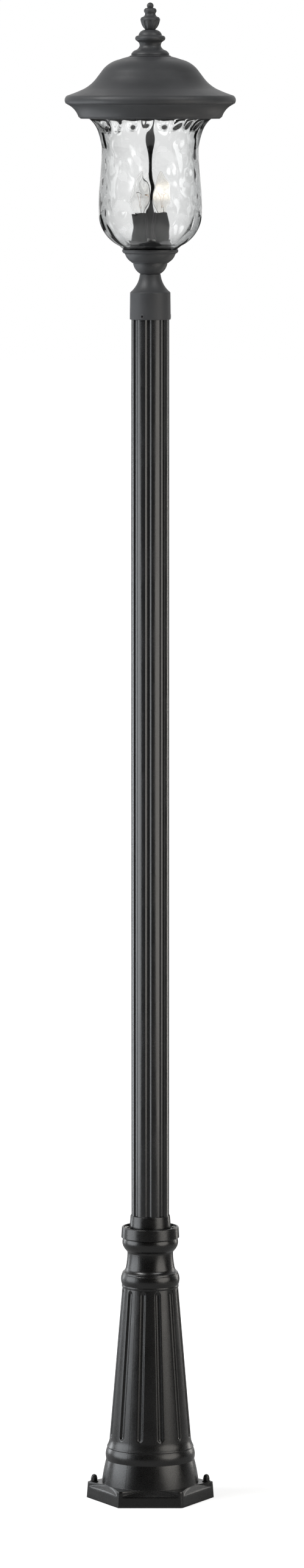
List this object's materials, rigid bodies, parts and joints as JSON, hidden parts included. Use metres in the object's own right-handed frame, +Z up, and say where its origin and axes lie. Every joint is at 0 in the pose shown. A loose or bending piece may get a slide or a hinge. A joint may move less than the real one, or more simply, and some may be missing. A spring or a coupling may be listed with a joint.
{
  "type": "post lantern",
  "caption": "Garden post lantern: a bell-roofed lantern head with hammered clear glass over a candle cluster, on a fluted round post and a fluted cast pedestal with a hexagonal foot.",
  "frame": {"origin": "on the post's axis at ground level, in the middle of the hexagonal foot", "axes": "+Z up along the post, -Y towards the viewer of the picture, X across it; two corners of the foot lie on X"},
  "size_m": [0.3416, 0.3414, 3.0237],
  "materials": {
    "post_coat": "matte",
    "head_coat": "matte",
    "clear_glass": "gloss",
    "lamp_glass": "gloss",
    "zinc_steel": "satin",
    "black_steel": "matte",
    "brass": "satin",
    "black_plastic": "matte",
    "sleeve_plastic": "satin",
    "lamp_insulator": "gloss",
    "lead_insulation": "satin",
    "gasket_rubber": "matte"
  },
  "bodies": {
    "post": {"anchor_cap_nuts": "zinc_steel", "anchor_washers": "zinc_steel", "base_pedestal": "post_coat", "base_ring": "post_coat", "candle_sleeve_1": "sleeve_plastic", "candle_sleeve_2": "sleeve_plastic", "candle_sleeve_3": "sleeve_plastic", "centre_rod": "zinc_steel", "cluster_lid": "head_coat", "cluster_pan": "head_coat", "cup_bowl": "head_coat", "cup_dish": "head_coat", "ferrule": "post_coat", "fitter": "head_coat", "fitter_lock_nut": "zinc_steel", "fitter_set_screws": "black_steel", "glass_gasket": "gasket_rubber", "pan_lock_nut": "zinc_steel", "pan_spacer": "head_coat", "post_shaft": "post_coat", "ring_screws": "zinc_steel", "rod_hickey": "zinc_steel", "rod_nut": "zinc_steel", "socket_body_1": "black_plastic", "socket_body_2": "black_plastic", "socket_body_3": "black_plastic", "socket_contact_1": "brass", "socket_contact_2": "brass", "socket_contact_3": "brass", "socket_leads": "lead_insulation", "socket_nuts": "zinc_steel", "socket_shell_1": "brass", "socket_shell_2": "brass", "socket_shell_3": "brass", "socket_studs": "brass", "terminal_block": "black_plastic", "wire_nipple": "brass"},
    "bulb_1": {"bulb_base_1": "brass", "bulb_contact_1": "lamp_insulator", "bulb_glass_1": "lamp_glass", "bulb_mount_1": "lamp_glass"},
    "bulb_2": {"bulb_base_2": "brass", "bulb_contact_2": "lamp_insulator", "bulb_glass_2": "lamp_glass", "bulb_mount_2": "lamp_glass"},
    "bulb_3": {"bulb_base_3": "brass", "bulb_contact_3": "lamp_insulator", "bulb_glass_3": "lamp_glass", "bulb_mount_3": "lamp_glass"},
    "glass": {"glass_shade": "clear_glass"},
    "roof": {"rim_gasket": "gasket_rubber", "roof": "head_coat", "roof_cap": "head_coat", "roof_skirt": "head_coat", "skirt_screws": "zinc_steel"},
    "finial": {"finial": "head_coat"}
  },
  "joints": [
    {"name": "bulb_1_spin", "type": "hinge", "parent": "post", "child": "bulb_1", "pos_m": [0.02272, -0.01158, 2.58], "axis": [0, 0, 1], "continuous": true},
    {"name": "bulb_2_spin", "type": "hinge", "parent": "post", "child": "bulb_2", "pos_m": [-0.00133, 0.02547, 2.58], "axis": [0, 0, 1], "continuous": true},
    {"name": "bulb_3_spin", "type": "hinge", "parent": "post", "child": "bulb_3", "pos_m": [-0.02139, -0.01389, 2.58], "axis": [0, 0, 1], "continuous": true},
    {"name": "glass_lift", "type": "slide", "parent": "post", "child": "glass", "axis": [0, 0, 1], "range_m": [0, 0.47]},
    {"name": "roof_lift", "type": "slide", "parent": "glass", "child": "roof", "axis": [0, 0, 1], "range_m": [0, 0.22]},
    {"name": "finial_spin", "type": "hinge", "parent": "roof", "child": "finial", "pos_m": [0, 0, 2.98], "axis": [0, 0, 1], "continuous": true}
  ]
}
